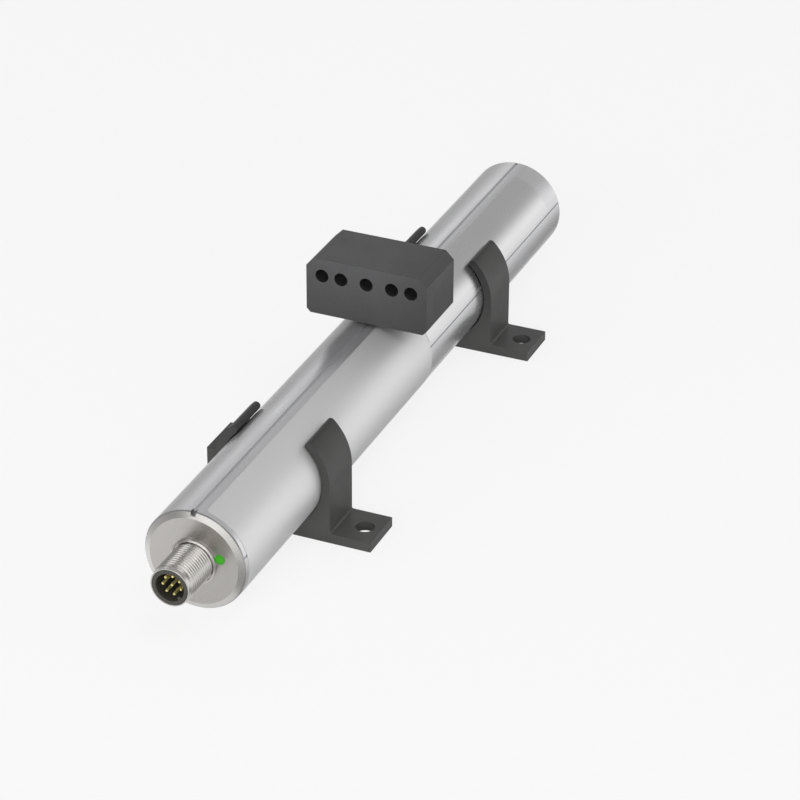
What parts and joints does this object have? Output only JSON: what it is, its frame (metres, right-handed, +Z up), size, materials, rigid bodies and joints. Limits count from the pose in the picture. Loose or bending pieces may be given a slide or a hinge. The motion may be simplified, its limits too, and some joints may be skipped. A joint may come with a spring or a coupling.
{
  "type": "magnetostrictive linear position sensor",
  "caption": "Tube-shaped magnetostrictive position sensor with a round plug connector, two saddle brackets and a magnet block that travels along the tube.",
  "frame": {"origin": "on the mounting plane under the bracket feet, below the tube axis, at the middle of the overall length", "axes": "+Y along the tube from the connector to the far end, +X to the right as seen from the connector, +Z up"},
  "size_m": [0.06, 0.2478, 0.0513],
  "materials": {
    "tube_aluminium": "satin anodised",
    "label_foil": "matte silver foil",
    "turned_steel": "turned",
    "connector_nickel": "nickel plated",
    "insert_plastic": "moulded",
    "pin_gold": "gold plated",
    "light_green": "clear green",
    "seal_rubber": "moulded",
    "board_laminate": "solder mask",
    "chip_black": "moulded",
    "can_aluminium": "drawn",
    "header_plastic": "moulded",
    "spring_bronze": "stamped",
    "rail_plastic": "moulded",
    "sheath_plastic": "extruded",
    "waveguide_alloy": "drawn",
    "wire_copper": "enamelled",
    "silicone_grey": "cast",
    "magnet_ferrite": "sintered",
    "shield_steel": "stamped",
    "pad_foam": "foam",
    "bracket_plastic": "moulded",
    "block_plastic": "moulded"
  },
  "bodies": {
    "sensor": {"housing_tube": "tube_aluminium", "front_label": "label_foil", "rear_label": "label_foil", "front_end_cap": "turned_steel", "rear_end_cap": "turned_steel", "front_cap_seal": "seal_rubber", "rear_cap_seal": "seal_rubber", "connector_shell": "connector_nickel", "connector_nut": "connector_nickel", "connector_seal": "seal_rubber", "connector_insert": "insert_plastic", "contact_pins": "pin_gold", "light_pipe": "light_green", "status_led": "light_green", "connector_board": "board_laminate", "board_header": "header_plastic", "electronics_board": "board_laminate", "signal_chips": "chip_black", "board_capacitors": "can_aluminium", "clock_crystal": "can_aluminium", "ground_spring": "spring_bronze", "sensor_carrier": "rail_plastic", "waveguide": "waveguide_alloy", "waveguide_sheath": "sheath_plastic", "return_wire": "wire_copper", "waveguide_anchor": "pin_gold", "waveguide_ferrule": "pin_gold", "end_damper": "silicone_grey", "pickup_bobbin": "header_plastic", "pickup_coil": "wire_copper", "bias_magnet": "magnet_ferrite", "pickup_shield": "shield_steel", "rear_bulkhead": "rail_plastic", "end_pad": "pad_foam"},
    "front_bracket": {"front_bracket": "bracket_plastic"},
    "rear_bracket": {"rear_bracket": "bracket_plastic"},
    "position_magnet": {"magnet_housing": "block_plastic", "position_magnets": "magnet_ferrite", "magnet_cover": "block_plastic"}
  },
  "joints": [
    {"name": "magnet_travel", "type": "slide", "parent": "sensor", "child": "position_magnet", "axis": [0, 1, 0], "range_m": [-0.0503, 0.0497]},
    {"name": "front_bracket_slide", "type": "slide", "parent": "sensor", "child": "front_bracket", "axis": [0, 1, 0], "range_m": [-0.025, 0.025]},
    {"name": "rear_bracket_slide", "type": "slide", "parent": "sensor", "child": "rear_bracket", "axis": [0, 1, 0], "range_m": [-0.025, 0.025]}
  ]
}
